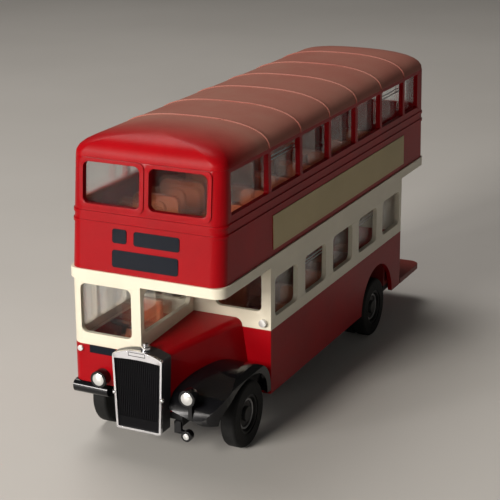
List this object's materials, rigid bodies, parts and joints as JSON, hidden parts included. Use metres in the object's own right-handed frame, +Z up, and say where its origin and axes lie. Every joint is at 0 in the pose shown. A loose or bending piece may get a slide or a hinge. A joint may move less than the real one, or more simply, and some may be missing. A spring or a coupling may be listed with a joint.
{
  "type": "scale model double decker bus",
  "caption": "Die-cast scale model of a half-cab double decker bus with an open rear platform, clear windows, seats and rolling wheels.",
  "frame": {"origin": "middle of the bus's length and width, on the ground under the tyres", "axes": "+X towards the radiator, +Y towards the nearside (kerb side, passengers' side), +Z up"},
  "size_m": [0.1111, 0.0328, 0.0619],
  "materials": {
    "advert_print": "gloss",
    "axle_steel": "bright",
    "black_paint": "gloss",
    "bright_metal": "bright",
    "clear_glazing": "clear",
    "cream_paint": "gloss",
    "interior_brown": "satin",
    "lamp_silver": "bright",
    "red_paint": "gloss",
    "roof_red": "satin",
    "seat_plastic": "satin",
    "shell_grey": "satin",
    "sign_black": "gloss",
    "tyre_rubber": "matt",
    "wheel_black": "satin"
  },
  "bodies": {
    "bus_body": {"roof": "roof_red", "upper_deck_body": "red_paint", "cream_band": "cream_paint", "lower_window_surround": "cream_paint", "lower_side_panels": "red_paint", "rear_panel": "red_paint", "rear_platform": "interior_brown", "bonnet": "red_paint", "radiator_shell": "shell_grey", "radiator_surround": "bright_metal", "radiator_grille": "black_paint", "filler_cap": "bright_metal", "nearside_front_wing": "black_paint", "offside_front_wing": "black_paint", "headlamp_bowls": "black_paint", "headlamp_lenses": "lamp_silver", "fog_lamp": "black_paint", "fog_lamp_lens": "lamp_silver", "side_lamps": "lamp_silver", "number_plate": "sign_black", "destination_signs": "sign_black", "advert_panels": "advert_print", "upper_glazing": "clear_glazing", "lower_glazing": "clear_glazing", "upper_deck_floor": "interior_brown", "upper_deck_seats": "seat_plastic", "lower_deck_floor": "interior_brown", "lower_deck_seats": "seat_plastic", "staircase": "interior_brown", "wheel_boxes": "interior_brown", "cab_floor": "interior_brown", "driver_seat": "seat_plastic", "steering_wheel": "black_paint", "chassis": "black_paint"},
    "front_axle_unit": {"front_axle": "axle_steel", "front_hubs": "wheel_black", "front_trim_rings": "bright_metal", "front_nearside_tyre": "tyre_rubber", "front_offside_tyre": "tyre_rubber"},
    "rear_axle_unit": {"rear_axle": "axle_steel", "rear_hubs": "wheel_black", "rear_trim_rings": "bright_metal", "rear_nearside_tyres": "tyre_rubber", "rear_offside_tyres": "tyre_rubber"}
  },
  "joints": [
    {"name": "front_axle_spin", "type": "hinge", "parent": "bus_body", "child": "front_axle_unit", "pos_m": [0.04075, 0, 0.0066], "axis": [0, 1, 0], "continuous": true},
    {"name": "rear_axle_spin", "type": "hinge", "parent": "bus_body", "child": "rear_axle_unit", "pos_m": [-0.02525, 0, 0.0066], "axis": [0, 1, 0], "continuous": true}
  ]
}
